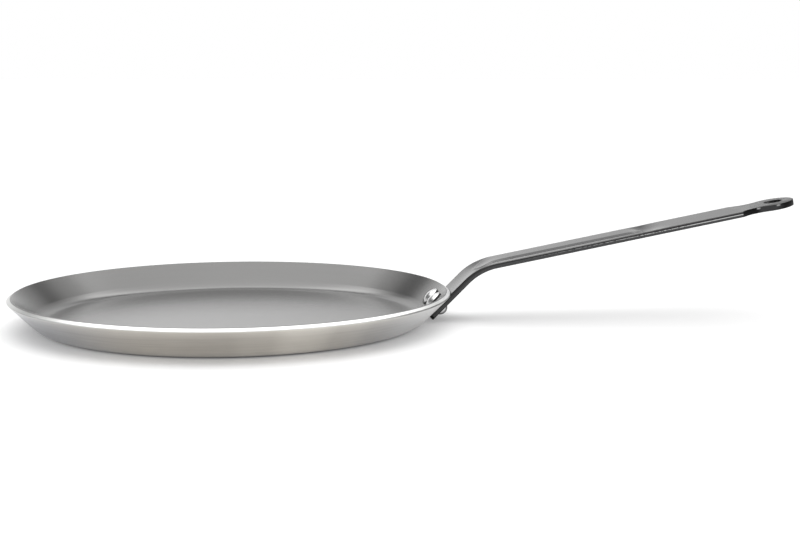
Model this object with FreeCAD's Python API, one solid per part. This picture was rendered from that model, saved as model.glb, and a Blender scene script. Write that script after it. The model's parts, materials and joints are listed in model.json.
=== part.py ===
import FreeCAD, Part
import math
import os

V = FreeCAD.Vector
os.makedirs("parts", exist_ok=True)

# Sizes of the pressed dish, in millimetres
rim_diameter = 300.0
pan_height = 22.0
rim_drop = 1.8
sheet_thickness = 3.5
outer_corner_radius = 16.0
inner_corner_radius = 17.0
rim_edge_radius = 0.4
coating_thickness = 0.3
wall_slope_deg = 45.0

# Sizes of the strip handle, measured along its top face
strip_width = 33.8
strip_thickness = 4.1
strip_edge_radius = 0.9
toe_corner_radius = 2.0
seat_length = 22.6
root_reach = 25.6
bend_radius = 42.0
eye_reach = 214.1
grip_slope_deg = 11.05
bedding_share = 0.15

# Sizes of the pressed rib on the grip
rib_length = 95.0
rib_height = 0.9
rib_top_width = 18.0
rib_side_run = 2.4
rib_sink = 1.6
rib_wrap_deg = 8.5

# Sizes of the hanging eye
eye_diameter = 30.8
hole_diameter = 12.4
hole_offset = 1.5
neck_width = 24.2
neck_radius = 17.0

# Sizes of the rivets
rivet_diameter = 7.0
rivet_spacing = 17.0
rivet_drop_share = 0.575
rivet_clearance = 0.05
inner_head_diameter = 13.8
inner_head_height = 3.5
inner_head_crown = 2.4
inner_head_edge_radius = 0.6
outer_head_diameter = 10.0
outer_head_height = 3.7

# How far a cutting shape runs past the face that it opens
overrun = 5.0

# Values that follow from the sizes
slope = math.radians(wall_slope_deg)
grip_slope = math.radians(grip_slope_deg)
bend_angle = slope - grip_slope
rim_radius = rim_diameter / 2
rim_outer_z = pan_height - rim_drop
coated_depth = sheet_thickness + coating_thickness
coated_corner_radius = inner_corner_radius - coating_thickness
half_width = strip_width / 2
eye_radius = eye_diameter / 2
rivet_drop = seat_length * rivet_drop_share
inner_head_wall = inner_head_height - inner_head_crown

# Directions along the strip and down through it, at its root and at its grip
upward = V(0, 0, 1)
across = V(0, 1, 0)
root_dir = V(math.cos(slope), 0, math.sin(slope))
root_out = V(math.sin(slope), 0, -math.cos(slope))
grip_dir = V(math.cos(grip_slope), 0, math.sin(grip_slope))
grip_out = V(math.sin(grip_slope), 0, -math.cos(grip_slope))


def line(start, end):
    return Part.makeLine(start, end)


def arc(start, middle, end):
    return Part.Arc(start, middle, end).toShape()


def face(edges):
    return Part.Face(Part.Wire(edges))


def wall_point(depth, z):
    """The point at height z on the wall, at a depth inwards from its outer face."""
    return V(rim_radius - depth / math.sin(slope) + (z - rim_outer_z) / math.tan(slope), 0, z)


def corner_points(depth, radius):
    """Start, middle and end of the rounded corner, at a depth inwards from the outer face."""
    centre = wall_point(depth, depth) + V(-radius * math.tan(slope / 2), 0, radius)
    middle_out = V(math.sin(slope / 2), 0, -math.cos(slope / 2))
    return centre - upward * radius, centre + middle_out * radius, centre + root_out * radius


def dished_layer(outer_corner, inner_corner, outer_top, inner_top):
    """A turned layer between two corners, closed along the line between its two top points."""
    a, b, c = outer_corner
    d, e, f = inner_corner
    outer_centre = V(0, 0, a.z)
    inner_centre = V(0, 0, d.z)
    outline = [
        line(outer_centre, a),
        arc(a, b, c),
        line(c, outer_top),
        line(outer_top, inner_top),
        line(inner_top, f),
        arc(f, e, d),
        line(d, inner_centre),
        line(inner_centre, outer_centre),
    ]
    return face(outline).revolve(V(0, 0, 0), upward, 360)


# The dish, with the outer edge of its rim eased
rim_outer = wall_point(0, rim_outer_z)
rim_inner = wall_point(sheet_thickness, pan_height)
outer_corner = corner_points(0, outer_corner_radius)
inner_corner = corner_points(sheet_thickness, inner_corner_radius)
dish_blank = dished_layer(outer_corner, inner_corner, rim_outer, rim_inner)
rim_edges = []
for edge in dish_blank.Edges:
    at_rim = abs(edge.CenterOfMass.z - rim_outer_z) < rim_edge_radius
    if at_rim and edge.BoundBox.XMax > rim_radius - rim_edge_radius and edge.Closed:
        rim_edges.append(edge)
dish = dish_blank.makeFillet(rim_edge_radius, rim_edges)

# The coating, level with the highest edge of the rim
coated_corner = corner_points(coated_depth, coated_corner_radius)
coating_blank = dished_layer(inner_corner, coated_corner, rim_inner, wall_point(coated_depth, pan_height))

# The strip's layout: the middle of its flat root is bedded a little way onto the wall's round
wall_rise = (rim_radius - math.sqrt(rim_radius ** 2 - half_width ** 2)) * math.sin(slope)
bedding = wall_rise * bedding_share
root_start = rim_outer - root_out * bedding
bend_corner = root_start + root_dir * root_reach
bend_tangent = bend_radius * math.tan(bend_angle / 2)
bend_start = bend_corner - root_dir * bend_tangent
bend_end = bend_corner + grip_dir * bend_tangent
bend_centre = bend_start + root_out * bend_radius
eye_centre = bend_corner + grip_dir * eye_reach
hole_centre = eye_centre + grip_dir * hole_offset


def strip_section(top_middle, out):
    """The strip's cross-section with its rolled edges, hung from the middle of its top face."""

    def at(y, depth):
        return top_middle + across * y + out * depth

    r = strip_edge_radius
    w = half_width
    t = strip_thickness
    cut = r * (1 - math.sqrt(0.5))
    return face([
        line(at(r - w, 0), at(w - r, 0)),
        arc(at(w - r, 0), at(w - cut, cut), at(w, r)),
        line(at(w, r), at(w, t - r)),
        arc(at(w, t - r), at(w - cut, t - cut), at(w - r, t)),
        line(at(w - r, t), at(r - w, t)),
        arc(at(r - w, t), at(cut - w, t - cut), at(-w, t - r)),
        line(at(-w, t - r), at(-w, r)),
        arc(at(-w, r), at(cut - w, cut), at(r - w, 0)),
    ])


def through(outline, out):
    """A cutting shape through the strip's thickness from an outline on its top face."""
    plan = face(outline)
    plan.translate(out * -overrun)
    return plan.extrude(out * (strip_thickness + overrun + overrun))


# The strip stock: root, bend and grip in one run
start_section = strip_section(bend_start, root_out)
end_section = strip_section(bend_end, grip_out)
root = start_section.extrude(root_dir * (bend_tangent - root_reach - seat_length))
bend = start_section.revolve(bend_centre, across, math.degrees(bend_angle))
grip = end_section.extrude(grip_dir * (eye_reach - bend_tangent + eye_radius))
strip = root.fuse([bend, grip]).removeSplitter()

# The shallow bed in the root follows the wall's cone and runs out in the bend
cone_low = wall_point(0, -overrun)
cone_high = wall_point(0, bend_corner.z)
strip = strip.cut(Part.makeCone(cone_low.x, cone_high.x, cone_high.z - cone_low.z, V(0, 0, cone_low.z)))

# The toe's rounded corners and the waste around the neck and the eye, on each side
toe_middle = root_start - root_dir * seat_length
neck_centre_y = neck_width / 2 + neck_radius
neck_back = math.sqrt((neck_radius + eye_radius) ** 2 - neck_centre_y ** 2)
shoulder_back = neck_back + math.sqrt(neck_radius ** 2 - (neck_centre_y - half_width) ** 2)
eye_share = eye_radius / (eye_radius + neck_radius)
for hand in (across, across * -1):
    edge_end = toe_middle + hand * half_width
    arc_end = edge_end + root_dir * toe_corner_radius
    arc_start = edge_end - hand * toe_corner_radius
    arc_centre = arc_end - hand * toe_corner_radius
    arc_middle = arc_centre + (hand - root_dir).normalize() * toe_corner_radius
    strip = strip.cut(through([
        arc(arc_start, arc_middle, arc_end),
        line(arc_end, arc_end + hand * overrun),
        line(arc_end + hand * overrun, edge_end + (hand - root_dir) * overrun),
        line(edge_end + (hand - root_dir) * overrun, arc_start - root_dir * overrun),
        line(arc_start - root_dir * overrun, arc_start),
    ], root_out))

    shoulder = eye_centre - grip_dir * shoulder_back + hand * half_width
    neck = eye_centre - grip_dir * neck_back + hand * (neck_width / 2)
    joint = eye_centre + (hand * neck_centre_y - grip_dir * neck_back) * eye_share
    flank = eye_centre + (hand + grip_dir).normalize() * eye_radius
    tip = eye_centre + grip_dir * eye_radius
    far = tip + grip_dir * overrun
    side = hand * (half_width + overrun)
    strip = strip.cut(through([
        arc(shoulder, neck, joint),
        arc(joint, flank, tip),
        line(tip, far),
        line(far, far + side),
        line(far + side, shoulder + hand * overrun),
        line(shoulder + hand * overrun, shoulder),
    ], grip_out))

# The hanging hole through the eye
hole_start = hole_centre - grip_out * overrun
hole_depth = strip_thickness + overrun + overrun
strip = strip.cut(Part.makeCylinder(hole_diameter / 2, hole_depth, hole_start, grip_out))


def placed(shape, origin, axis):
    """The shape with its +Z axis turned along an axis and its origin moved to a point."""
    result = shape.copy()
    result.Placement = FreeCAD.Placement(origin, FreeCAD.Rotation(upward, axis))
    return result


def rib_at(depth):
    """The rib, round at both ends, with its foot at a depth below the strip's top face."""
    foot = bend_end + grip_out * depth
    top_half = rib_top_width / 2
    base_half = top_half + rib_side_run * (rib_height + rib_sink) / rib_height
    peak = foot - grip_out * rib_height
    base = foot + grip_out * rib_sink
    section = face([
        line(base - across * base_half, base + across * base_half),
        line(base + across * base_half, peak + across * top_half),
        line(peak + across * top_half, peak - across * top_half),
        line(peak - across * top_half, base - across * base_half),
    ])
    straight = section.extrude(grip_dir * rib_length)
    curved = section.revolve(bend_centre, across, -rib_wrap_deg)
    boss = Part.makeCone(base_half, top_half, rib_height + rib_sink, V(0, 0, -rib_sink))
    far_boss = placed(boss, foot + grip_dir * rib_length, grip_out * -1)
    near_boss = placed(boss, foot, grip_out * -1).rotated(bend_centre, across, -rib_wrap_deg)
    return straight.fuse([curved, far_boss, near_boss]).removeSplitter()


# The pressed rib stands on the top face and leaves its hollow in the underside
strip = strip.fuse(rib_at(0)).removeSplitter().cut(rib_at(strip_thickness))


def head_blank(radius, wall_height, crown, edge_radius, base_depth):
    """A turned head on the +Z axis: straight side, low crown, eased edge, running below its seat."""
    height = wall_height + crown
    crown_radius = (radius ** 2 + crown ** 2) / (2 * crown)
    half_angle = math.asin(radius / crown_radius) / 2
    crown_drop = crown_radius * (1 - math.cos(half_angle))
    crown_middle = V(crown_radius * math.sin(half_angle), 0, height - crown_drop)
    outline = [
        line(V(0, 0, -base_depth), V(radius, 0, -base_depth)),
        line(V(radius, 0, -base_depth), V(radius, 0, wall_height)),
        arc(V(radius, 0, wall_height), crown_middle, V(0, 0, height)),
        line(V(0, 0, height), V(0, 0, -base_depth)),
    ]
    head = face(outline).revolve(V(0, 0, 0), upward, 360)
    rims = [e for e in head.Edges if e.Closed and abs(e.CenterOfMass.z - wall_height) < edge_radius]
    return head.makeFillet(edge_radius, rims)


def dome_blank(radius, height):
    """A turned round head on the +Z axis, flat underneath."""
    ball_radius = (radius ** 2 + height ** 2) / (2 * height)
    half_angle = math.acos((ball_radius - height) / ball_radius) / 2
    middle = V(ball_radius * math.sin(half_angle), 0, height - ball_radius * (1 - math.cos(half_angle)))
    outline = [
        line(V(0, 0, 0), V(radius, 0, 0)),
        arc(V(radius, 0, 0), middle, V(0, 0, height)),
        line(V(0, 0, height), V(0, 0, 0)),
    ]
    return face(outline).revolve(V(0, 0, 0), upward, 360)


# The rivets: the inner head is formed onto the coating, the round head sits on the strip's underside
inner_head = head_blank(
    inner_head_diameter / 2,
    inner_head_wall,
    inner_head_crown,
    inner_head_edge_radius,
    sheet_thickness,
)
outer_head = dome_blank(outer_head_diameter / 2, outer_head_height)
rivets = {}
pan_body = dish
nonstick_coating = coating_blank
handle_strip = strip
for name, hand in (("left", across), ("right", across * -1)):
    on_root = root_start - root_dir * rivet_drop + hand * (rivet_spacing / 2)
    inner_face = wall_point(coated_depth, on_root.z).x
    fall_away = (inner_face - math.sqrt(inner_face ** 2 - on_root.y ** 2)) * math.sin(slope)
    seat = on_root - root_out * (coated_depth + fall_away - bedding)
    head = placed(inner_head, seat, root_out * -1).cut([coating_blank, dish_blank])
    head = max(head.Solids, key=lambda s: s.CenterOfMass.z)
    underside = on_root + root_out * strip_thickness
    shank_start = seat - root_out * inner_head_wall
    shank_length = (underside - shank_start).Length
    shank = Part.makeCylinder(rivet_diameter / 2, shank_length, shank_start, root_out)
    rivets[name] = head.fuse([shank, placed(outer_head, underside, root_out)]).removeSplitter()
    bore_start = shank_start - root_out * overrun
    bore_length = shank_length + overrun + overrun
    bore = Part.makeCylinder(rivet_diameter / 2 + rivet_clearance, bore_length, bore_start, root_out)
    pan_body = pan_body.cut(bore)
    nonstick_coating = nonstick_coating.cut(bore)
    handle_strip = handle_strip.cut(bore)

nodes = {
    "pan_body": pan_body,
    "nonstick_coating": nonstick_coating,
    "handle_strip": handle_strip,
    "handle_rivet_left": rivets["left"],
    "handle_rivet_right": rivets["right"],
}
for name, shape in nodes.items():
    shape.exportStep("parts/" + name + ".step")
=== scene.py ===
"""Looks of a shallow crepe pan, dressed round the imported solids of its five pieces."""
import json
import math

import bmesh
import bpy
from bpy.props import FloatProperty, FloatVectorProperty, IntProperty, PointerProperty
from bpy.types import Operator, Panel, PropertyGroup
from mathutils import Matrix, Vector


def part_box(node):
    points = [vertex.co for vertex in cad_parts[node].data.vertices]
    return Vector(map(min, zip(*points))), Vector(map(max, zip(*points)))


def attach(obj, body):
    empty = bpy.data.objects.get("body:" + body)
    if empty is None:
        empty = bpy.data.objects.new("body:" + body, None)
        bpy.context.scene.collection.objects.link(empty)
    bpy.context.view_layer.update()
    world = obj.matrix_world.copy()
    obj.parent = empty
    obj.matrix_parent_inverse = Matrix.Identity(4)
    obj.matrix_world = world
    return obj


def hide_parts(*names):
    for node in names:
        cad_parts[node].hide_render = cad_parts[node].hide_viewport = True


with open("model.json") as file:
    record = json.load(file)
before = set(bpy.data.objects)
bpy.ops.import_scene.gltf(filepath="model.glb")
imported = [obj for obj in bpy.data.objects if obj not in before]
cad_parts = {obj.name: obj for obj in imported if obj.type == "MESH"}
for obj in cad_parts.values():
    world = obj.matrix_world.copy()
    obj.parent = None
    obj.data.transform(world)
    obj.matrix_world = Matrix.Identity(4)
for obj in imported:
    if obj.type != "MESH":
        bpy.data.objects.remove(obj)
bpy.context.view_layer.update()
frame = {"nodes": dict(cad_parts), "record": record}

bl_info = {
    "name": "Crepe pan",
    "version": (1, 0, 0),
    "blender": (4, 5, 0),
    "location": "3D View > Sidebar > Crepe pan",
    "description": "Finishes a riveted crepe pan and sets it on a pale studio floor",
    "category": "Object",
}

BODY = "root"
FLAT_PLACE = "flat_place"
MM = 0.001
ACROSS = Vector((0, 1, 0))
BLACK = (0, 0, 0)
WHITE = (1, 1, 1)

# Steps of the rounds, and the angles and slopes that tell edges and faces apart
ROLL_SEGMENTS = 6
EASE_SEGMENTS = 2
CORNER_STEPS = 8
NECK_STEPS = 20
EYE_STEPS = 48
HOLE_STEPS = 72
FLAT_ANGLE = math.radians(0.5)
SHARP_ANGLE = math.radians(60)
SMOOTH_ANGLE = math.radians(25)
UPRIGHT = 0.1
SLANTED = 0.5
LEVEL = 0.9

eye_mount = next(m for m in frame["record"]["mounts"] if m["name"] == "hanging_eye")
pan_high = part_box("pan_body")[1]
coat_low, coat_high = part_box("nonstick_coating")
strip_low, strip_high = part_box("handle_strip")


def length(name, description, millimetres):
    """A length property whose default is given in millimetres."""
    default = millimetres * MM
    return FloatProperty(name=name, description=description, default=default, unit="LENGTH", precision=5)


def angle(name, description, degrees):
    """An angle property whose default is given in degrees."""
    return FloatProperty(name=name, description=description, default=math.radians(degrees), subtype="ANGLE")


def share(name, description, value):
    """A plain number between nothing and the whole."""
    return FloatProperty(name=name, description=description, default=value, min=0, max=1, subtype="FACTOR")


def colour(name, description, value):
    """A linear colour property."""
    return FloatVectorProperty(
        name=name, description=description, default=value, min=0, max=1, subtype="COLOR", size=3,
    )


class StripSizes(PropertyGroup):
    """Sizes of the strip handle, measured along its top face from the toe."""

    width: length("Width", "Across the strip", (strip_high.y - strip_low.y) / MM)
    thickness: length("Thickness", "Gauge of the strip", eye_mount["dims"]["length_mm"])
    edge_radius: length("Rolled edge", "Radius of the rolled long edges", 0.9)
    toe_radius: length("Toe corner", "Radius of the two corners at the toe", 2.0)
    root_length: length("Root", "From the toe to where root and grip lines meet", 48.2)
    root_slope: angle("Root slope", "Slope of the root, as the wall's", 45.0)
    bend_radius: length("Bend", "Radius of the bend at the top face", 42.0)
    grip_reach: length("Grip", "From where the lines meet to the middle of the eye", 214.1)
    eye_diameter: length("Eye", "Across the hanging eye", 30.8)
    hole_offset: length("Hole offset", "From the middle of the eye to the middle of its hole", 1.5)
    neck_width: length("Neck", "Across the neck behind the eye", 24.2)
    neck_radius: length("Neck round", "Radius of the two hollows at the neck", 17.0)
    blank_ease: length("Blanked edge", "Ease on the edges of the neck, the eye and the hole", 0.25)
    rivet_bore: length("Rivet hole", "Across each of the two rivet holes", 7.1)
    rivet_spacing: length("Rivet spacing", "Between the two rivets", 17.0)
    rivet_setback: length("Rivet setback", "From the toe to the rivets", 9.605)
    rib_height: length("Rib height", "How far the pressed rib stands up", 0.9)
    rib_top: length("Rib top", "Half the width of the rib's flat top", 9.0)
    rib_foot: length("Rib foot", "Half the width of the rib at its foot", 11.4)
    rib_lead: length("Rib lead", "How far the rib starts before the end of the bend", 5.0)
    rib_length: length("Rib length", "From the end of the bend to the middle of the rib's end", 97.0)
    root_hollow: length("Root hollow", "How far the middle of the root sinks above the wall", 0.5)
    root_hollow_start: length("Root hollow start", "From the toe to where that hollow begins", 18.0)
    lead_hollow: length("Lead hollow", "How far the strip is drawn down where the rib starts", 1.8)
    lead_shift: length("Lead shift", "How far that hollow lies past the rib's tip", 6.0)
    end_hollow: length("End hollow", "How far the strip is drawn down where the rib ends", 2.2)
    end_hollow_reach: length("Hollow reach", "How far both hollows reach along the strip", 7.5)
    cells_across: IntProperty(name="Cells across", description="Mesh cells across the strip", default=44)
    cell_length: length("Cell length", "Length of a mesh cell along the strip", 1.0)


class FinishColours(PropertyGroup):
    """Colours of the finishes, and of the painted light and shade on them."""

    aluminium: colour("Aluminium", "Brushed wall and base", (0.815, 0.778, 0.720))
    # Painted reflection: the wall cooler and darker towards both sides
    painted_side_tint: colour("Cool aluminium", "Wall towards both sides of the pan", (0.665, 0.668, 0.683))
    # Colour of the painted sheen on the wall
    polished: colour("Bright_sheen", "Brightest patch of the wall", (1.0, 0.97, 0.91))
    rim: colour("Rim", "Turned face of the rim", (0.80, 0.80, 0.79))
    coating: colour("Coating", "Satin coating inside the pan", (0.157, 0.156, 0.154))
    strip: colour("Strip", "Coat on the strip handle", (0.021, 0.021, 0.022))
    # Bare steel of the painted highlight stripe on the strip's sides and of the painted glints on its
    # blanked edges
    steel: colour("Steel", "Bare steel where the coat is worn", (0.50, 0.50, 0.50))
    # Colour of the painted highlight on the strip's upper edges and of the painted reflection on its top
    painted_highlight: colour("Highlight edge", "Coat rubbed thin on the strip's upper edges", (0.30, 0.30, 0.30))
    # Colour of the painted shade low on the strip's sides and on the blanked edges from the neck to the eye
    flank: colour("Flank", "Coat low on the strip's sides", (0.04, 0.04, 0.041))
    rivet: colour("Rivet", "Bare rivet heads", (0.70, 0.70, 0.70))
    # Tail heads on their side towards the front; their back takes a painted shade
    rivet_tail: colour("Rivet tail", "Duller heads under the strip", (0.85, 0.85, 0.85))
    # Colour of the painted shadow round the inner head, and of the painted shade on the tail
    seam: colour("Seam", "Dark line round a rivet head", (0.02, 0.02, 0.02))
    floor: colour("Floor", "Studio floor", (0.97, 0.97, 0.97))
    # Where round the pan the painted sheen is brightest
    sheen_turn: angle("Sheen turn", "Where round the pan its wall is polished brightest", -71.0)


class StageSettings(PropertyGroup):
    """Camera, lamp and room."""

    camera_place: FloatVectorProperty(
        name="Camera place", description="Where the camera stands",
        default=(0.02963, -0.94824, 0.16734), subtype="TRANSLATION", unit="LENGTH",
    )
    camera_yaw: angle("Camera yaw", "Turn of the camera from straight ahead, to the right", 5.183)
    camera_pitch: angle("Camera pitch", "Tilt of the camera below the level", 7.815)
    camera_lens: FloatProperty(
        name="Lens", description="Focal length on a 36 mm frame", default=62.42, unit="CAMERA",
    )
    lamp_strength: FloatProperty(name="Lamp", description="Strength of the overhead lamp", default=2.75)
    lamp_spread: angle("Lamp spread", "How wide the overhead lamp looks from the pan", 84.0)
    lamp_tilt: angle("Lamp tilt", "How far the lamp stands behind the pan", 8.0)
    sweep_top: angle("Sweep top", "Height of the white sweep in front of the stage", 26.0)
    rear_top: angle("Rear top", "Height of the white sweep behind the stage", 30.0)
    sweep_level: FloatProperty(
        name="Sweep", description="Brightness of the white sweep where it is brightest", default=1.2,
    )
    room_level: share("Room", "Brightness of the room above the sweep, as a share of the sweep's", 0.21)
    side_fall: share("Right fall", "How much darker the room is at the right than at its brightest", 0.55)
    left_fall: share("Left fall", "How much darker the room is at the left than at its brightest", 0.27)
    panel_level: share("Panels", "Brightness of the rear panels, as a share of twice the sweep's", 0.5)
    contact_radius: length("Contact", "Radius of the base, within which the floor is dark", 122.5)
    # Painted light: more plain white in the floor under the handle, lightening the handle's shadow
    handle_shadow_lift: share("Handle lift", "Further share of plain white seen in the floor under the handle", 0.2)
    floor_lift: share("Floor lift", "Share of plain white seen in the floor", 0.20)


class CrepePanSettings(PropertyGroup):
    """All that a user would change."""

    strip: PointerProperty(type=StripSizes)
    colours: PointerProperty(type=FinishColours)
    stage: PointerProperty(type=StageSettings)


class Value:
    """A shader socket that is added, multiplied and so on like a number."""

    def __init__(self, finish, socket):
        self.finish = finish
        self.socket = socket

    def maths(self, operation, *terms):
        return self.finish.node("ShaderNodeMath", {"operation": operation}, dict(enumerate(terms)))

    def __add__(self, other):
        return self.maths("ADD", self, other)

    def __radd__(self, other):
        return self.maths("ADD", other, self)

    def __sub__(self, other):
        return self.maths("SUBTRACT", self, other)

    def __rsub__(self, other):
        return self.maths("SUBTRACT", other, self)

    def __mul__(self, other):
        return self.maths("MULTIPLY", self, other)

    def __rmul__(self, other):
        return self.maths("MULTIPLY", other, self)

    def __truediv__(self, other):
        return self.maths("DIVIDE", self, other)

    def __abs__(self):
        return self.maths("ABSOLUTE", self)

    def __gt__(self, other):
        return self.maths("GREATER_THAN", self, other)

    def least(self, other, blend):
        """The smaller of two values, blended where they are near each other."""
        return self.maths("SMOOTH_MIN", self, other, blend)

    def rise(self, start, end):
        """A smooth rise from 0 at the start to 1 at the end."""
        inputs = {"Value": self, "From Min": start, "From Max": end}
        return self.finish.node("ShaderNodeMapRange", {"interpolation_type": "SMOOTHSTEP"}, inputs)


class Finish:
    """A node tree being put together."""

    def __init__(self, owner):
        owner.use_nodes = True
        self.tree = owner.node_tree
        self.tree.nodes.clear()

    def node(self, kind, settings=None, inputs=None, output=0):
        """Makes a node, sets it up, fills its sockets and gives one of its outputs."""
        made = self.tree.nodes.new(kind)
        for name, value in (settings or {}).items():
            if name == "stops":
                for element, (place, level) in zip(made.color_ramp.elements, value):
                    element.position = place
                    element.color = (level, level, level, 1)
            else:
                setattr(made, name, value)
        for name, value in (inputs or {}).items():
            socket = made.inputs[name]
            if isinstance(value, Value):
                self.tree.links.new(value.socket, socket)
            elif socket.type == "RGBA" and len(value) == 3:
                socket.default_value = (*value, 1)
            else:
                socket.default_value = value
        return Value(self, made.outputs[output]) if made.outputs else None

    def place(self):
        """The point on the piece, in the shared frame."""
        return self.node("ShaderNodeTexCoord", output="Object")

    def part(self, vector, axis):
        """One part of a vector."""
        return self.node("ShaderNodeSeparateXYZ", inputs={0: vector}, output=axis)

    def vector(self, x, y, z):
        """A vector from three values."""
        return self.node("ShaderNodeCombineXYZ", inputs={0: x, 1: y, 2: z})

    def noise(self, vector, scale, detail=2.0, roughness=0.5):
        """Even noise about 0.5."""
        inputs = {"Vector": vector, "Scale": scale, "Detail": detail, "Roughness": roughness}
        return self.node("ShaderNodeTexNoise", {"noise_dimensions": "3D"}, inputs, "Fac")

    def mix(self, factor, a, b):
        """A colour between two colours."""
        settings = {"data_type": "RGBA", "blend_type": "MIX"}
        return self.node("ShaderNodeMix", settings, {0: factor, 6: a, 7: b}, 2)

    def bump(self, height, depth, strength):
        """A normal that follows a height, with its full depth in metres."""
        return self.node("ShaderNodeBump", None, {"Strength": strength, "Distance": depth, "Height": height})

    def surface(self, inputs):
        """The piece's shader and its output."""
        shader = self.node("ShaderNodeBsdfPrincipled", inputs=inputs)
        self.node("ShaderNodeOutputMaterial", inputs={"Surface": shader})


def material(name):
    """A new material with an empty node tree."""
    made = bpy.data.materials.new(name)
    return made, Finish(made)


def wear(obj, *finishes):
    """The object takes these materials and no others."""
    obj.data.materials.clear()
    for made in finishes:
        obj.data.materials.append(made)


def mm(*values):
    """Lengths given in millimetres, in metres."""
    return tuple(value * MM for value in values)


def shifted(place, offsets):
    """The places that lie at some offsets from a place."""
    return [place + offset for offset in offsets]


def shaded(tint, level):
    """A colour made darker or lighter."""
    return tuple(part * level for part in tint)


def weighted(shares, *values):
    """Values, each times its share, added up."""
    return sum(value * weight for value, weight in zip(values, shares))


def from_axis(finish, place):
    """Distance from the pan's axis."""
    flat = finish.vector(finish.part(place, "X"), finish.part(place, "Y"), 0.0)
    return finish.node("ShaderNodeVectorMath", {"operation": "LENGTH"}, {0: flat}, "Value")


MARK_NOISE = (1.0, 3.0, 0.6)


def ring_marks(finish, turns, pitch):
    """Marks that run round the pan's axis: how many lengths fit in a radian, and how far apart they lie."""
    place = finish.place()
    radius = from_axis(finish, place)
    around = [finish.part(place, axis) / radius * turns for axis in "XY"]
    across = (radius + finish.part(place, "Z")) / pitch
    return finish.noise(finish.vector(*around, across), *MARK_NOISE)


# Brushed body: heights from rim or base, and ranges round the pan as cosines of the turn from the handle
FINE_MARKS = (4.0, 0.5 * MM)
BROAD_MARKS = (1.5, 2.5 * MM)
WALL_PATCHES = (22.0, 3.0, 0.55)
BRUSHING_SHARES = (0.45, 0.35, 0.2)
BRUSHING_SHARE = 0.50
# Painted sheen: ranges of the brighter fan, its core, the handle's side and the band under the rim
FAN = (0.945, 0.972)
FAN_CORE = (0.989, 1.0)
SIDES = (0.35, 0.85)
SHEEN_SHARES = (0.15, 0.28, 0.24)
UPPER_WALL = mm(-8.5, -2)
LIP = mm(-4, -1.5)
UPPER_SHARES = (0.28, 0.22)
UPPER_END = (0.65, 0.9)
UPPER_FAR_END = (0.3, 0.8)
UPPER_FAR_SHARE = 0.5
# Painted light: the wall paler towards the handle's end
PAINTED_LIGHT_END = (0.68, 0.82)
PAINTED_LIGHT_SHARE = 0.45
PAINTED_LIGHT_COLOUR = (0.85, 0.85, 0.85)
# Painted contact shadow: the wall darker in its lowest two millimetres
CONTACT_SHADE_HEIGHTS = mm(0.5, 2)
CONTACT_SHADE_SHARE = 0.85
RIM_DEPTH = 2.1 * MM
# Painted highlight: the rim white towards the handle; painted shade darkens it on the far side
RIM_HIGHLIGHT = (0.88, 0.98)
RIM_SHADE_START = (0.5, 0.75)
RIM_SHADE_END = (0.82, 0.95)
RIM_SHADE_SHARE = 0.32
# Painted shadow: a dark band round the rim's outer edge towards the handle's side
RIM_SHADOW_BAND = mm(-0.55, -0.35)
RIM_SHADOW_START = (0.55, 0.8)
RIM_SHADOW_DEPTH = 2.4 * MM
RIM_SHADOW_SHARE = 0.6
OVERSPRAY = mm(0.3, 0.6)
WALL_ROUGHNESS = 0.22
WALL_ROUGHNESS_SHARES = (0.12, 0.06)
WALL_STRETCH = 0.55
WALL_GRAIN_SHARES = (0.6, 0.4)
WALL_GRAIN_DEPTH = 0.02 * MM
WALL_GRAIN_STRENGTH = 0.5


def painted_wall_sheen(finish, colours, place):
    """How much painted sheen brightens the wall: in a fan round the pan, towards the handle's side and under
    the rim.
    """
    height = finish.part(place, "Z")
    radius = from_axis(finish, place)
    handle_side = finish.part(place, "X") / radius
    facing = handle_side * math.cos(colours.sheen_turn)
    facing += finish.part(place, "Y") / radius * math.sin(colours.sheen_turn)
    rises = [height.rise(*shifted(pan_high.z, band)) for band in (UPPER_WALL, LIP)]
    upper = weighted(UPPER_SHARES, *rises) * (1.0 - handle_side.rise(*UPPER_END))
    upper *= 1.0 - (0.0 - handle_side).rise(*UPPER_FAR_END) * UPPER_FAR_SHARE
    sheen = (facing.rise(*FAN), facing.rise(*FAN_CORE), handle_side.rise(*SIDES))
    return weighted(SHEEN_SHARES, *sheen) + upper


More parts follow.
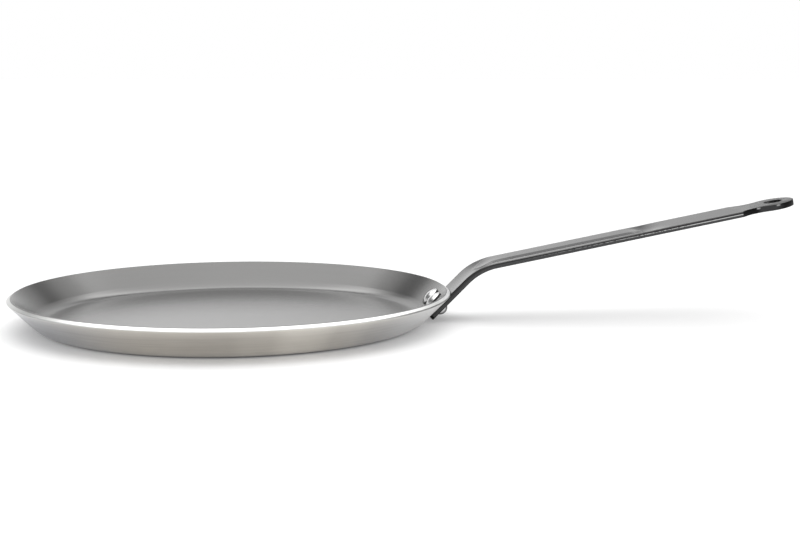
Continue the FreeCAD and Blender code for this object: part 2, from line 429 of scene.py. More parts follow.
def brushed_aluminium(colours):
    """Pressed aluminium brushed round its axis, a turned rim, and painted sheen, highlights, shade and
    shadows.
    """
    made, finish = material("brushed_aluminium")
    place = finish.place()
    height = finish.part(place, "Z")
    radius = from_axis(finish, place)
    handle_side = finish.part(place, "X") / radius
    far_side = 0.0 - handle_side
    fine = ring_marks(finish, *FINE_MARKS)
    broad = ring_marks(finish, *BROAD_MARKS)
    patches = finish.noise(place, *WALL_PATCHES)

    # Painted reflection: the wall cooler and darker towards both sides
    metal = finish.mix(abs(handle_side).rise(*SIDES), colours.aluminium, colours.painted_side_tint)
    brushing = weighted(BRUSHING_SHARES, fine, broad, patches) * BRUSHING_SHARE
    # Painted sheen: the wall lighter in a fan, towards the handle and under the rim
    sheen_mask = painted_wall_sheen(finish, colours, place)
    wall = finish.mix(sheen_mask, finish.mix(brushing, metal, BLACK), colours.polished)
    # Painted light: the wall paler towards the handle's end
    wall = finish.mix(handle_side.rise(*PAINTED_LIGHT_END) * PAINTED_LIGHT_SHARE, wall, PAINTED_LIGHT_COLOUR)
    # Painted contact shadow: the wall darker next to the floor
    foot = 1.0 - height.rise(*CONTACT_SHADE_HEIGHTS)
    wall = finish.mix(foot * CONTACT_SHADE_SHARE, wall, BLACK)

    rim = height > (pan_high.z - RIM_DEPTH)
    # Painted highlight: the rim white towards the handle; painted shade darkens it on the far side
    face = finish.mix(handle_side.rise(*RIM_HIGHLIGHT), colours.rim, WHITE)
    painted_rim_shade = (far_side.rise(*RIM_SHADE_START) - far_side.rise(*RIM_SHADE_END)) * RIM_SHADE_SHARE
    face = finish.mix(painted_rim_shade, face, BLACK)
    # Painted shadow: a dark band round the rim's outer edge towards the handle's side
    edge = radius.rise(*shifted(pan_high.x, RIM_SHADOW_BAND)) * handle_side.rise(*RIM_SHADOW_START)
    edge *= height > (pan_high.z - RIM_SHADOW_DEPTH)
    turned = finish.mix(edge * RIM_SHADOW_SHARE, finish.mix(rim, wall, face), BLACK)
    overspray = rim * (1.0 - radius.rise(*shifted(coat_high.x, OVERSPRAY)))
    grain = weighted(WALL_GRAIN_SHARES, fine, broad)
    finish.surface({
        "Base Color": finish.mix(overspray, turned, colours.coating),
        "Metallic": 1.0,
        "Roughness": WALL_ROUGHNESS + weighted(WALL_ROUGHNESS_SHARES, fine, patches),
        "Anisotropic": WALL_STRETCH,
        "Normal": finish.bump(grain, WALL_GRAIN_DEPTH, WALL_GRAIN_STRENGTH),
    })
    return made


# Satin coating: the shaded dish of the floor rises with the cube of the radius
COAT_MARKS = (2.0, 1.2 * MM)
COAT_FLECKS = (2600.0, 1.0, 0.5)
COAT_CLOUDS = (14.0, 3.0, 0.5)
COAT_SHARES = (0.4, 0.35, 0.25)
COAT_LEVELS = (0.85, 1.15)
COAT_WALL = mm(0.4, 5)
COAT_METALLIC = 0.9
COAT_SPECULAR = 0.5
COAT_ROUGHNESS = 0.14
COAT_ROUGHNESS_SHARES = (0.05, 0.03, 0.07)
COAT_GRAIN_DEPTH = 0.005 * MM
DISH_RADIUS = 121 * MM
DISH_BLEND = 12 * MM
DISH_CURVE = 1.8


def satin_coating(colours):
    """Satin grey coating sprayed on a turned floor, with faint rings and fine flecks."""
    made, finish = material("satin_coating")
    place = finish.place()
    rings = ring_marks(finish, *COAT_MARKS)
    flecks = finish.noise(place, *COAT_FLECKS)
    clouds = finish.noise(place, *COAT_CLOUDS)
    wall = finish.part(place, "Z").rise(*shifted(coat_low.z, COAT_WALL))
    reach = from_axis(finish, place).least(DISH_RADIUS, DISH_BLEND)
    dish = reach * reach * reach * DISH_CURVE
    tone = weighted(COAT_SHARES, rings, flecks, clouds)
    finish.surface({
        "Base Color": finish.mix(tone, *(shaded(colours.coating, level) for level in COAT_LEVELS)),
        "Metallic": COAT_METALLIC,
        "Roughness": COAT_ROUGHNESS + weighted(COAT_ROUGHNESS_SHARES, rings, clouds, wall),
        "Specular IOR Level": COAT_SPECULAR,
        "Normal": finish.bump((rings + flecks) * COAT_GRAIN_DEPTH + dish, 1.0, 1.0),
    })
    return made


# Coated strip: places along the flat strip from its toe, across from its edges, and down from its top
STRIP_GRAIN = (900.0, 3.0, 0.6)
STRIP_CLOUDS = (60.0, 3.0, 0.5)
STRIP_SHARES = (0.6, 0.4)
STRIP_LEVELS = (0.7, 1.3)
SIDE_BAND = mm(-0.5, -0.2)
# Painted highlight: a broken stripe of bare steel along the middle of each side
HIGHLIGHT_STRIPE_SHARE = 0.47
HIGHLIGHT_STRIPE = mm(0.15, 0.4)
HIGHLIGHT_STRIPE_START = mm(55, 200)
HIGHLIGHT_STRIPE_BREAKS = (1100.0, 2.0, 0.6)
HIGHLIGHT_STRIPE_LEVELS = (0.35, 0.6)
UNBROKEN_START = mm(170, 240)
UNBROKEN_SHARE = 0.3
UNDER_SHARES = (0.55, 0.85)
# Painted highlight: the coat lighter along the upper rolled edges
EDGE_HIGHLIGHT_BAND = mm(-2, -1.3)
EDGE_HIGHLIGHT_DEPTH = mm(0.7, 1)
EDGE_HIGHLIGHT_START = mm(42, 58)
EDGE_HIGHLIGHT_FADE = mm(110, 190)
EDGE_HIGHLIGHT_FADE_SHARE = 0.6
EDGE_HIGHLIGHT_SHARE = 0.85
# Painted reflection: the near half of the top lighter at the root and at the rib's end
ROOT_REFLECTION = mm(-12, 15)
ROOT_REFLECTION_END = mm(54, 74)
RIB_END_REFLECTION = mm(-6, 10)
RIB_END_REFLECTION_START = mm(154, 166)
RIB_END_REFLECTION_END = mm(172, 190)
REFLECTION_SHARE = 0.32
# Painted shade: the lower part of each side darker
LOW_SIDE_SHADE_DEPTH = mm(1.6, 2.2)
# Painted shade: a dark stripe along the upper part of each side, save where the painted highlight lies
SHADE_STRIPE_DEPTH = mm(1.5, 1.9)
SHADE_STRIPE_SHARE = 0.8
STRIP_ROUGHNESS = 0.15
STRIP_ROUGHNESS_SHARES = (0.06, 0.03, 0.35)
STRIP_SPECULAR = 0.4
STRIP_GRAIN_DEPTH = 0.02 * MM
STRIP_GRAIN_STRENGTH = 0.3


def flat_parts(finish):
    """The place on the strip while it was flat: along, across, and down from its top face."""
    flat = finish.node("ShaderNodeAttribute", {"attribute_name": FLAT_PLACE}, output="Vector")
    return finish.part(flat, "X"), finish.part(flat, "Y"), 0.0 - finish.part(flat, "Z")


def coated_strip(colours, sizes):
    """Dark baked coat on strip steel, with a fine grain, and painted highlights, shade and reflections on
    its edges and top.
    """
    made, finish = material("coated_strip")
    place = finish.place()
    along, across, depth = flat_parts(finish)
    out = abs(across)
    half = sizes.width / 2
    grain = finish.noise(place, *STRIP_GRAIN)
    clouds = finish.noise(place, *STRIP_CLOUDS)
    side = out.rise(*shifted(half, SIDE_BAND))
    under = depth.rise(*(sizes.thickness * part for part in UNDER_SHARES))

    # Painted highlight: a broken stripe of bare steel along the middle of each side
    middle = 1.0 - abs(depth - sizes.thickness * HIGHLIGHT_STRIPE_SHARE).rise(*HIGHLIGHT_STRIPE)
    specks = finish.noise(place, *HIGHLIGHT_STRIPE_BREAKS) + along.rise(*UNBROKEN_START) * UNBROKEN_SHARE
    painted_highlit = side * middle * along.rise(*HIGHLIGHT_STRIPE_START) * specks.rise(*HIGHLIGHT_STRIPE_LEVELS)
    # Painted highlight: the coat lighter along the upper rolled edges
    painted_bright = out.rise(*shifted(half, EDGE_HIGHLIGHT_BAND)) * (1.0 - depth.rise(*EDGE_HIGHLIGHT_DEPTH))
    painted_bright *= along.rise(*EDGE_HIGHLIGHT_START) * (1.0 - along.rise(*EDGE_HIGHLIGHT_FADE) * EDGE_HIGHLIGHT_FADE_SHARE)
    # Painted reflection: the near half of the top lighter at the root and at the rib's end
    nearer = 0.0 - across
    painted_reflection = nearer.rise(*ROOT_REFLECTION) * (1.0 - along.rise(*ROOT_REFLECTION_END))
    painted_reflection += nearer.rise(*RIB_END_REFLECTION) * along.rise(*RIB_END_REFLECTION_START) * (1.0 - along.rise(*RIB_END_REFLECTION_END))
    # Painted shade: a dark stripe along the upper part of each side, save where the painted highlight lies
    painted_shade_line = side * (1.0 - depth.rise(*SHADE_STRIPE_DEPTH)) * (1.0 - painted_bright)

    tone = weighted(STRIP_SHARES, grain, clouds)
    coat = finish.mix(tone, *(shaded(colours.strip, level) for level in STRIP_LEVELS))
    coat = finish.mix(painted_reflection * (1.0 - side) * REFLECTION_SHARE, coat, colours.painted_highlight)
    # Painted shade: the lower part of each side darker
    coat = finish.mix(side * depth.rise(*LOW_SIDE_SHADE_DEPTH), coat, colours.flank)
    coat = finish.mix(painted_bright * EDGE_HIGHLIGHT_SHARE, coat, colours.painted_highlight)
    coat = finish.mix(painted_shade_line * SHADE_STRIPE_SHARE, coat, BLACK)
    finish.surface({
        "Base Color": finish.mix(painted_highlit, coat, colours.steel),
        "Metallic": painted_highlit,
        "Roughness": STRIP_ROUGHNESS + weighted(STRIP_ROUGHNESS_SHARES, grain, clouds, under),
        "Specular IOR Level": STRIP_SPECULAR,
        "Normal": finish.bump(grain, STRIP_GRAIN_DEPTH, STRIP_GRAIN_STRENGTH),
    })
    return made


# Blanked edges of neck, eye and hole, with painted shade and painted glints
# Painted glints: bare steel high on the blanked edge at the neck and at the eye
GLINT_TOP = mm(0.2, 0.5)
GLINT_BOTTOM = mm(1, 1.8)
GLINT_REACH = mm(0.5, 1.8)
NECK_GLINT_SHIFT = 1 * MM
OUTLINE_SHARES = (1 / 4, 1 / 3)
OUTLINE_GLINT_SHARE = 0.55
HOLE_GLINT_SHARE = 0.15
LIGHTER_SHADE_START = mm(-1, 2)
LIGHTER_SHADE_END = mm(-2, 6)
BLANKED_SHADE_LEVEL = 0.15
BLANKED_ROUGHNESS = 0.45
BLANKED_SPECULAR = 0.12


def blanked_edge(colours, sizes, run):
    """Dull coat on the blanked edges in painted shade, less dark from neck to eye, with painted glints at
    neck and eye.
    """
    made, finish = material("blanked_edge")
    along, across, depth = flat_parts(finish)
    neck = run.eye - run.neck_back + NECK_GLINT_SHIFT
    # Painted glints: bare steel high on the blanked edge at the neck and at the eye
    upper = depth.rise(*GLINT_TOP) * (1.0 - depth.rise(*GLINT_BOTTOM))
    near_neck, near_eye = (1.0 - abs(along - glint_place).rise(*GLINT_REACH) for glint_place in (neck, run.eye))
    outline = abs(across).rise(*(sizes.eye_diameter * part for part in OUTLINE_SHARES))
    painted_glints = (near_neck + near_eye) * upper * (outline * OUTLINE_GLINT_SHARE + HOLE_GLINT_SHARE)
    # Painted shade: the coat far darker on the blanked edges, less so from the neck to the eye
    lighter_shade_stretch = along.rise(*shifted(neck, LIGHTER_SHADE_START))
    lighter_shade_stretch *= 1.0 - along.rise(*shifted(run.eye, LIGHTER_SHADE_END))
    coat = finish.mix(lighter_shade_stretch, shaded(colours.strip, BLANKED_SHADE_LEVEL), colours.flank)
    finish.surface({
        "Base Color": finish.mix(painted_glints, coat, colours.steel),
        "Metallic": painted_glints,
        "Roughness": BLANKED_ROUGHNESS,
        "Specular IOR Level": BLANKED_SPECULAR,
    })
    return made


# Rivets: heights along the rivet from the coating at the rim, and places across from the rivet's middle
# Painted shadow: dark round the foot of the inner head
PAINTED_SHADOW_TOP = mm(1.2, 1.5)
PAINTED_SHADOW_FOOT = mm(-2, -1)
TAIL_TOP = mm(-3, -2)
# Painted light and shade: the tail head dark at its back and light on its side towards the front
TAIL_FRONT = mm(3, 4.6)
TAIL_SHADE_LEVEL = 4
RIVET_DENTS = (260.0, 2.0, 0.5)
RIVET_SCUFFS = (1500.0, 2.0, 0.6)
SCUFF_LEVEL = 0.92
RIVET_ROUGHNESS = 0.16
RIVET_ROUGHNESS_SHARES = (0.14, 0.4)
RIVET_DENT_SHARES = (0.8, 0.2)
RIVET_DENT_DEPTH = 0.12 * MM
RIVET_DENT_STRENGTH = 0.4


def bright_rivet(colours, sizes):
    """Bare aluminium, pressed and scuffed, with a painted shadow round the inner head, and painted light and
    shade on the tail.
    """
    made, finish = material("bright_rivet")
    place = finish.place()
    above_rim = finish.part(place, "Z") - coat_high.z
    inside_rim = coat_high.x - from_axis(finish, place)
    lift = above_rim * math.cos(sizes.root_slope) + inside_rim * math.sin(sizes.root_slope)
    # Painted shadow: dark round the foot of the inner head
    seam = (1.0 - lift.rise(*PAINTED_SHADOW_TOP)) * lift.rise(*PAINTED_SHADOW_FOOT)
    tail = 1.0 - lift.rise(*TAIL_TOP)
    # Painted light and shade: the tail head dark at its back and light on its side towards the front
    front = (0.0 - finish.part(place, "Y")).rise(*shifted(sizes.rivet_spacing / 2, TAIL_FRONT))
    painted_tail_shade = finish.mix(front, shaded(colours.seam, TAIL_SHADE_LEVEL), colours.rivet_tail)
    dents = finish.noise(place, *RIVET_DENTS)
    scuffs = finish.noise(place, *RIVET_SCUFFS)
    bare = finish.mix(scuffs, shaded(colours.rivet, SCUFF_LEVEL), colours.rivet)
    relief = weighted(RIVET_DENT_SHARES, dents, scuffs)
    finish.surface({
        "Base Color": finish.mix(seam, finish.mix(tail, bare, painted_tail_shade), colours.seam),
        "Metallic": 1.0 - seam,
        "Roughness": RIVET_ROUGHNESS + weighted(RIVET_ROUGHNESS_SHARES, scuffs, seam),
        "Normal": finish.bump(relief, RIVET_DENT_DEPTH, RIVET_DENT_STRENGTH),
    })
    return made


class StripRun:
    """The strip's run from toe to eye: where a point of the flat strip goes on the bent one."""

    def __init__(self, sizes):
        up = Vector(eye_mount["axis"])
        self.grip_along = ACROSS.cross(up)
        self.grip_up = up
        self.root_along = Vector((math.cos(sizes.root_slope), 0, math.sin(sizes.root_slope)))
        self.root_up = self.root_along.cross(ACROSS)
        self.radius = sizes.bend_radius
        self.turn = self.root_along.angle(self.grip_along)
        tangent = self.radius * math.tan(self.turn / 2)
        hole = Vector(eye_mount["pos_m"]) + up * (sizes.thickness / 2)
        corner = hole - self.grip_along * (sizes.grip_reach + sizes.hole_offset)
        self.toe = corner - self.root_along * sizes.root_length
        self.bend_start = sizes.root_length - tangent
        self.bend_end = self.bend_start + self.radius * self.turn
        self.eye = self.bend_end + sizes.grip_reach - tangent
        self.neck_centre = sizes.neck_width / 2 + sizes.neck_radius
        self.neck_back = math.sqrt((sizes.neck_radius + sizes.eye_diameter / 2) ** 2 - self.neck_centre ** 2)
        self.bend_centre = corner - self.root_along * tangent - self.root_up * self.radius
        self.grip_start = corner + self.grip_along * tangent

    def bent(self, point):
        """The place on the bent strip of a point at (along, across, above) on the flat one."""
        along, across, above = point
        if along <= self.bend_start:
            middle = self.toe + self.root_along * along + self.root_up * above
        elif along >= self.bend_end:
            middle = self.grip_start + self.grip_along * (along - self.bend_end) + self.grip_up * above
        else:
            turned = Matrix.Rotation((along - self.bend_start) / self.radius, 3, "Y") @ self.root_up
            middle = self.bend_centre + turned * (self.radius + above)
        return middle + ACROSS * across


def smooth_step(value):
    """Rises from 0 to 1 with level ends."""
    value = min(max(value, 0), 1)
    return value * value * (3 - 2 * value)


def pressed_height(sizes, run, along, across):
    """How far the press moves the strip up for its rib, and its top face down for the hollows round it."""
    start = run.bend_end - sizes.rib_lead
    end = run.bend_end + sizes.rib_length
    from_core = math.hypot(along - min(max(along, start), end), across)
    rib = sizes.rib_height * smooth_step((sizes.rib_foot - from_core) / (sizes.rib_foot - sizes.rib_top))
    edge = (2 * across / sizes.width) ** 2
    sunk = smooth_step((along - sizes.root_hollow_start) / (run.bend_start - sizes.root_hollow_start))
    sunk -= smooth_step((along - run.bend_start) / (run.bend_end - run.bend_start))
    drawn = sizes.root_hollow * sunk
    lead_tip = start - sizes.rib_foot + sizes.lead_shift
    for tip, depth in ((lead_tip, sizes.lead_hollow), (end + sizes.rib_foot, sizes.end_hollow)):
        drawn += depth * math.exp(-(((along - tip) / sizes.end_hollow_reach) ** 2))
    return rib, drawn * (1 - edge)


def only(kind, geometry):
    """The elements of one kind in an operator's result."""
    return [element for element in geometry if isinstance(element, kind)]


def flat_bar(sizes, fine_length, full_length):
    """A straight bar with rolled edges, finely divided along its first stretch."""
    bm = bmesh.new()
    half = sizes.width / 2
    corners = [bm.verts.new((0, y, z)) for y, z in (
        (-half, 0), (half, 0), (half, -sizes.thickness), (-half, -sizes.thickness),
    )]
    bm.faces.new(corners)
    bmesh.ops.bevel(
        bm, geom=corners, offset=sizes.edge_radius, offset_type="OFFSET", segments=ROLL_SEGMENTS,
        profile=0.5, affect="VERTICES", material=-1,
    )
    wide = [e for e in bm.edges if e.calc_length() > half]
    bmesh.ops.subdivide_edges(bm, edges=wide, cuts=sizes.cells_across - 1)
    ring = [e for e in bm.edges if e.is_boundary]
    for reach in (fine_length, full_length - fine_length):
        grown = bmesh.ops.extrude_edge_only(bm, edges=ring)["geom"]
        bmesh.ops.translate(bm, verts=only(bmesh.types.BMVert, grown), vec=(reach, 0, 0))
        ring = [e for e in only(bmesh.types.BMEdge, grown) if e.is_boundary]
    bmesh.ops.contextual_create(bm, geom=ring)
    runs = [e for e in bm.edges if abs(e.calc_length() - fine_length) < sizes.edge_radius]
    bmesh.ops.subdivide_edges(bm, edges=runs, cuts=round(fine_length / sizes.cell_length) - 1)
    bmesh.ops.recalc_face_normals(bm, faces=bm.faces)
    return bm


def swept(bm, vert, centre, end, steps):
    """Spins a vertex round a centre to an end point, the short way, and gives the last vertex."""
    start_arm = vert.co.xy - Vector(centre)
    end_arm = Vector(end) - Vector(centre)
    turn = -start_arm.angle_signed(end_arm)
    spun = bmesh.ops.spin(
        bm, geom=[vert], cent=(*centre, vert.co.z), axis=(0, 0, 1), dvec=(0, 0, 0),
        angle=turn, steps=steps, use_merge=False, use_duplicate=False,
    )
    return only(bmesh.types.BMVert, spun["geom_last"])[0]


def prism(bm, depth):
    """Fills the one loose outline and makes it a prism."""
    edges = [e for e in bm.edges if e.is_wire]
    face = bmesh.ops.contextual_create(bm, geom=edges)["faces"][0]
    grown = bmesh.ops.extrude_face_region(bm, geom=[face, *face.edges], use_keep_orig=True)["geom"]
    bmesh.ops.translate(bm, verts=only(bmesh.types.BMVert, grown), vec=(0, 0, depth))


def close_outline(bm, first, last, corners):
    """Joins an outline's last vertex to its first through some corners."""
    chain = [last] + [bm.verts.new((x, y, first.co.z)) for x, y in corners] + [first]
    for a, b in zip(chain, chain[1:]):
        bm.edges.new((a, b))


def waste(sizes, run):
    """What is blanked away from the flat bar: toe corners, all round neck and eye, and the three holes."""
    bm = bmesh.new()
    half = sizes.width / 2
    clear = sizes.width / 4
    outside = half + clear
    low = -sizes.thickness - clear
    depth = sizes.thickness + 2 * clear
    for hand in (1, -1):
        inner = hand * (half - sizes.toe_radius)
        first = bm.verts.new((0, inner, low))
        last = swept(bm, first, (sizes.toe_radius, inner), (sizes.toe_radius, hand * half), CORNER_STEPS)
        close_outline(bm, first, last, [
            (sizes.toe_radius, hand * outside), (-clear, hand * outside), (-clear, inner),
        ])
        prism(bm, depth)
    eye_radius = sizes.eye_diameter / 2
    neck_centre, neck_back = run.neck_centre, run.neck_back
    shoulder = run.eye - neck_back - math.sqrt(sizes.neck_radius ** 2 - (neck_centre - half) ** 2)
    eye_share = eye_radius / (eye_radius + sizes.neck_radius)
    joint = (run.eye - neck_back * eye_share, neck_centre * eye_share)
    first = bm.verts.new((shoulder, half, low))
    last = swept(bm, first, (run.eye - neck_back, neck_centre), joint, NECK_STEPS)
    last = swept(bm, last, (run.eye, 0), (run.eye + eye_radius, 0), EYE_STEPS)
    last = swept(bm, last, (run.eye, 0), (joint[0], -joint[1]), EYE_STEPS)
    last = swept(bm, last, (run.eye - neck_back, -neck_centre), (shoulder, -half), NECK_STEPS)
    end = run.eye + eye_radius + clear
    close_outline(bm, first, last, [
        (shoulder, -outside), (end, -outside), (end, outside), (shoulder, outside),
    ])
    prism(bm, depth)
    holes = [(run.eye + sizes.hole_offset, 0, eye_mount["dims"]["r_mm"] * MM)]
    for hand in (1, -1):
        holes.append((sizes.rivet_setback, hand * sizes.rivet_spacing / 2, sizes.rivet_bore / 2))
    for x, y, radius in holes:
        place = Matrix.Translation((x, y, low))
        bmesh.ops.create_circle(bm, radius=radius, segments=HOLE_STEPS, matrix=place)
        prism(bm, depth)
    bmesh.ops.recalc_face_normals(bm, faces=bm.faces)
    return bm, shoulder


def new_object(name, bm):
    """An object at the origin from a finished bmesh."""
    mesh = bpy.data.meshes.new(name)
    bm.to_mesh(mesh)
    bm.free()
    obj = bpy.data.objects.new(name, mesh)
    bpy.context.scene.collection.objects.link(obj)
    return obj


def cut_away(obj, cutter):
    """The object's mesh less the cutter, which is removed."""
    modifier = obj.modifiers.new("blanking", "BOOLEAN")
    modifier.operation = "DIFFERENCE"
    modifier.solver = "EXACT"
    modifier.object = cutter
    bpy.context.view_layer.update()
    mesh = bpy.data.meshes.new_from_object(obj.evaluated_get(bpy.context.evaluated_depsgraph_get()))
    obj.modifiers.clear()
    blank = obj.data
    obj.data = mesh
    bpy.data.meshes.remove(blank)
    blade = cutter.data
    bpy.data.objects.remove(cutter)
    bpy.data.meshes.remove(blade)


def ease_blanked_edges(bm, ease, shoulder, toe):
    """Joins the flat faces past the shoulder, save for the edges along the middle, and eases the blanked
    edges.
    """
    beside = [e for e in bm.edges if max(abs(v.co.y) for v in e.verts) > ease]
    flat = [e for e in beside if min(v.co.x for v in e.verts) > shoulder]
    verts = [v for v in bm.verts if v.co.x > shoulder]
    bmesh.ops.dissolve_limit(bm, angle_limit=FLAT_ANGLE, verts=verts, edges=flat)
    sharp = []
    for e in bm.edges:
        reach = max(v.co.x for v in e.verts)
        if not toe <= reach <= shoulder and e.is_manifold and e.calc_face_angle() > SHARP_ANGLE:
            levels = sorted(abs(f.normal.z) for f in e.link_faces)
            if levels[0] < UPRIGHT and levels[1] > LEVEL:
                sharp.append(e)
    bmesh.ops.bevel(
        bm, geom=sharp, offset=ease, offset_type="OFFSET", segments=EASE_SEGMENTS, profile=0.5,
        affect="EDGES", material=-1, clamp_overlap=False,
    )


class CREPEPAN_OT_body(Operator):
    """Brushes the pan's aluminium body"""

    bl_idname = "crepe_pan.body"
    bl_label = "Brush the body"

    def execute(self, context):
        wear(frame["nodes"]["pan_body"], brushed_aluminium(context.scene.crepe_pan.colours))
        return {"FINISHED"}


class CREPEPAN_OT_coating(Operator):
    """Gives the inside its satin coating"""

    bl_idname = "crepe_pan.coating"
    bl_label = "Coat the inside"

    def execute(self, context):
        wear(frame["nodes"]["nonstick_coating"], satin_coating(context.scene.crepe_pan.colours))
        return {"FINISHED"}


class CREPEPAN_OT_strip(Operator):
    """Rolls, blanks, presses and bends the strip handle"""

    bl_idname = "crepe_pan.strip"
    bl_label = "Make the strip handle"

    def execute(self, context):
        settings = context.scene.crepe_pan
        sizes = settings.strip
        run = StripRun(sizes)
        cutter, shoulder = waste(sizes, run)
        full_length = run.eye + sizes.eye_diameter / 2 + sizes.toe_radius
        bar = new_object("strip_handle", flat_bar(sizes, shoulder, full_length))
        cut_away(bar, new_object("strip_waste", cutter))
        bm = bmesh.new()
        bm.from_mesh(bar.data)
        ease_blanked_edges(bm, sizes.blank_ease, shoulder - sizes.cell_length, sizes.toe_radius / 2)
        bm.normal_update()
        for face in bm.faces:
            along = face.calc_center_median().x
            blanked = not sizes.toe_radius < along < shoulder
            face.material_index = int(blanked and abs(face.normal.z) < SLANTED)
        flat_place = bm.verts.layers.float_vector.new(FLAT_PLACE)
        for vert in bm.verts:
            along, across, above = vert[flat_place] = vert.co
            rib, drawn = pressed_height(sizes, run, along, across)
            vert.co = run.bent((along, across, above + rib - drawn * (1 + above / sizes.thickness)))
        wear(bar, coated_strip(settings.colours, sizes), blanked_edge(settings.colours, sizes, run))
        bm.to_mesh(bar.data)
        bm.free()
        bar.data.shade_smooth()
        bar.data.set_sharp_from_angle(angle=SMOOTH_ANGLE)
        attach(bar, BODY)
        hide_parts("handle_strip")
        return {"FINISHED"}


class CREPEPAN_OT_rivets(Operator):
    """Brightens the two rivets"""

    bl_idname = "crepe_pan.rivets"
    bl_label = "Brighten the rivets"

    def execute(self, context):
        settings = context.scene.crepe_pan
        bright = bright_rivet(settings.colours, settings.strip)
        for name in ("handle_rivet_left", "handle_rivet_right"):
            wear(frame["nodes"][name], bright)
        return {"FINISHED"}


# Stage: ranges in the room are parts of a direction, or its X over its Y
FLOOR_SIZE = 60.0
FLOOR_DROP = 0.1 * MM
CONTACT_FADE = 6 * MM
# Painted light: range under the handle where the floor takes more plain white
HANDLE_SHADOW_RANGE = mm(110, 180)
REAR = (0.0, 0.7)
FLANK = (0.36, 0.52)
FLANK_DROP = 0.29
SWEEP_BLEND = 0.10
RIGHT_SIDE = (-0.2, 0.6)
LEFT_SIDE = (0.2, 0.7)
PANEL_INNER = (0.12, 0.34)
PANEL_OUTER = (1.2, 1.7)
PANEL_FOOT = (0.46, 0.58)
PANEL_TOP = (0.72, 0.84)
LEFT_PANEL = (0.1, 0.4)
LEFT_PANEL_LIFT = 0.045
PANEL_WHITE = (2, 2, 2)
SENSOR_WIDTH = 36.0


def studio_floor(settings):
    """A pale floor that keeps the pan's shadow."""
    stage = settings.stage
    bm = bmesh.new()
    bmesh.ops.create_grid(bm, x_segments=1, y_segments=1, size=FLOOR_SIZE)
    bmesh.ops.translate(bm, verts=bm.verts, vec=(0, 0, -FLOOR_DROP))
    floor = new_object("floor", bm)
    made, finish = material("floor")
    diffuse = finish.node("ShaderNodeBsdfDiffuse", inputs={"Color": settings.colours.floor})
    white = finish.node("ShaderNodeEmission", inputs={"Color": WHITE, "Strength": 1.0})
    seen = finish.node("ShaderNodeLightPath", output="Is Camera Ray")
    mirrored = finish.node("ShaderNodeLightPath", output="Is Glossy Ray")
    spot = finish.place()
    clear = from_axis(finish, spot).rise(stage.contact_radius, stage.contact_radius + CONTACT_FADE)
    # Painted light: more plain white in the floor under the handle, lightening the handle's shadow
    lift = finish.part(spot, "X").rise(*HANDLE_SHADOW_RANGE) * stage.handle_shadow_lift + stage.floor_lift
    shown = (seen + mirrored) * clear * lift
    shader = finish.node("ShaderNodeMixShader", inputs={0: shown, 1: diffuse, 2: white})
    finish.node("ShaderNodeOutputMaterial", inputs={"Surface": shader})
    wear(floor, made)


def overhead_lamp(stage):
    """A wide soft lamp above the pan."""
    lamp = bpy.data.lights.new("overhead", "SUN")
    lamp.energy = stage.lamp_strength
    lamp.angle = stage.lamp_spread
    holder = bpy.data.objects.new("overhead", lamp)
    holder.rotation_euler = (-stage.lamp_tilt, 0, 0)
    bpy.context.scene.collection.objects.link(holder)


def rear_panels(finish, direction, behind):
    """Where the two pale panels stand in the room."""
    sideways = finish.part(direction, "X")
    aside = abs(sideways) / finish.part(direction, "Y")
    rise = finish.part(direction, "Z") - (0.0 - sideways).rise(*LEFT_PANEL) * LEFT_PANEL_LIFT
    upright = rise.rise(*PANEL_FOOT) * (1.0 - rise.rise(*PANEL_TOP))
    return aside.rise(*PANEL_INNER) * behind * (1.0 - aside.rise(*PANEL_OUTER)) * upright


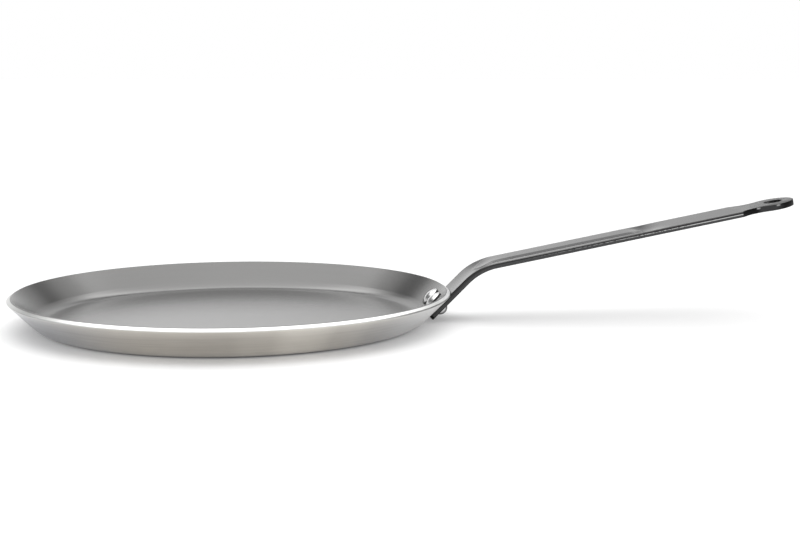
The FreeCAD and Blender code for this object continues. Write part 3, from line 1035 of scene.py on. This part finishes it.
def studio_room(stage):
    """A white sweep with a darker room above it and two panels, all of it white to the camera."""
    room = bpy.data.worlds.new("studio")
    finish = Finish(room)
    sweep = math.sin(stage.sweep_top)
    direction = finish.node("ShaderNodeTexCoord", output="Generated")
    sideways = finish.part(direction, "X")
    behind = finish.part(direction, "Y").rise(*REAR)
    flank = (abs(sideways) / finish.part(direction, "Y")).rise(*FLANK) * behind
    height = finish.part(direction, "Z") - behind * (math.sin(stage.rear_top) - sweep) + flank * FLANK_DROP
    stops = ((sweep, 1.0), (sweep + SWEEP_BLEND, stage.room_level))
    ramp = finish.node("ShaderNodeValToRGB", {"stops": stops}, {0: height})
    fall = sideways.rise(*RIGHT_SIDE) * stage.side_fall
    fall += (0.0 - sideways).rise(*LEFT_SIDE) * stage.left_fall
    panels = rear_panels(finish, direction, behind) * stage.panel_level
    dimmed = finish.mix(panels, finish.mix(fall, ramp, BLACK), PANEL_WHITE)
    walls = finish.node("ShaderNodeBackground", inputs={"Color": dimmed, "Strength": stage.sweep_level})
    backdrop = finish.node("ShaderNodeBackground", inputs={"Color": WHITE, "Strength": 1.0})
    seen = finish.node("ShaderNodeLightPath", output="Is Camera Ray")
    shader = finish.node("ShaderNodeMixShader", inputs={0: seen, 1: walls, 2: backdrop})
    finish.node("ShaderNodeOutputWorld", inputs={"Surface": shader})
    bpy.context.scene.world = room


def photo_camera(stage):
    """The camera at the photograph's angle."""
    scene = bpy.context.scene
    camera = bpy.data.objects.new("camera", bpy.data.cameras.new("camera"))
    camera.data.sensor_width = SENSOR_WIDTH
    camera.data.lens = stage.camera_lens
    camera.location = stage.camera_place
    camera.rotation_euler = (math.pi / 2 - stage.camera_pitch, 0, -stage.camera_yaw)
    scene.collection.objects.link(camera)
    scene.camera = camera
    scene.view_settings.view_transform = "Standard"


class CREPEPAN_OT_stage(Operator):
    """Sets the pale floor, the soft lamp, the room and the camera"""

    bl_idname = "crepe_pan.stage"
    bl_label = "Set the stage"

    def execute(self, context):
        settings = context.scene.crepe_pan
        studio_floor(settings)
        overhead_lamp(settings.stage)
        studio_room(settings.stage)
        photo_camera(settings.stage)
        return {"FINISHED"}


OPERATORS = (CREPEPAN_OT_body, CREPEPAN_OT_coating, CREPEPAN_OT_strip, CREPEPAN_OT_rivets, CREPEPAN_OT_stage)


class CREPEPAN_PT_panel(Panel):
    """The steps that dress the pan, in order"""

    bl_idname = "CREPEPAN_PT_panel"
    bl_label = "Crepe pan"
    bl_space_type = "VIEW_3D"
    bl_region_type = "UI"
    bl_category = "Crepe pan"

    def draw(self, context):
        for operator in OPERATORS:
            self.layout.operator(operator.bl_idname)


CLASSES = (StripSizes, FinishColours, StageSettings, CrepePanSettings, *OPERATORS, CREPEPAN_PT_panel)


def register():
    for cls in CLASSES:
        bpy.utils.register_class(cls)
    bpy.types.Scene.crepe_pan = PointerProperty(type=CrepePanSettings)


def unregister():
    del bpy.types.Scene.crepe_pan
    for cls in reversed(CLASSES):
        bpy.utils.unregister_class(cls)


def main():
    """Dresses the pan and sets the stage."""
    register()
    for operator in OPERATORS:
        group, name = operator.bl_idname.split(".")
        getattr(getattr(bpy.ops, group), name)()


if __name__ == "__main__":
    main()
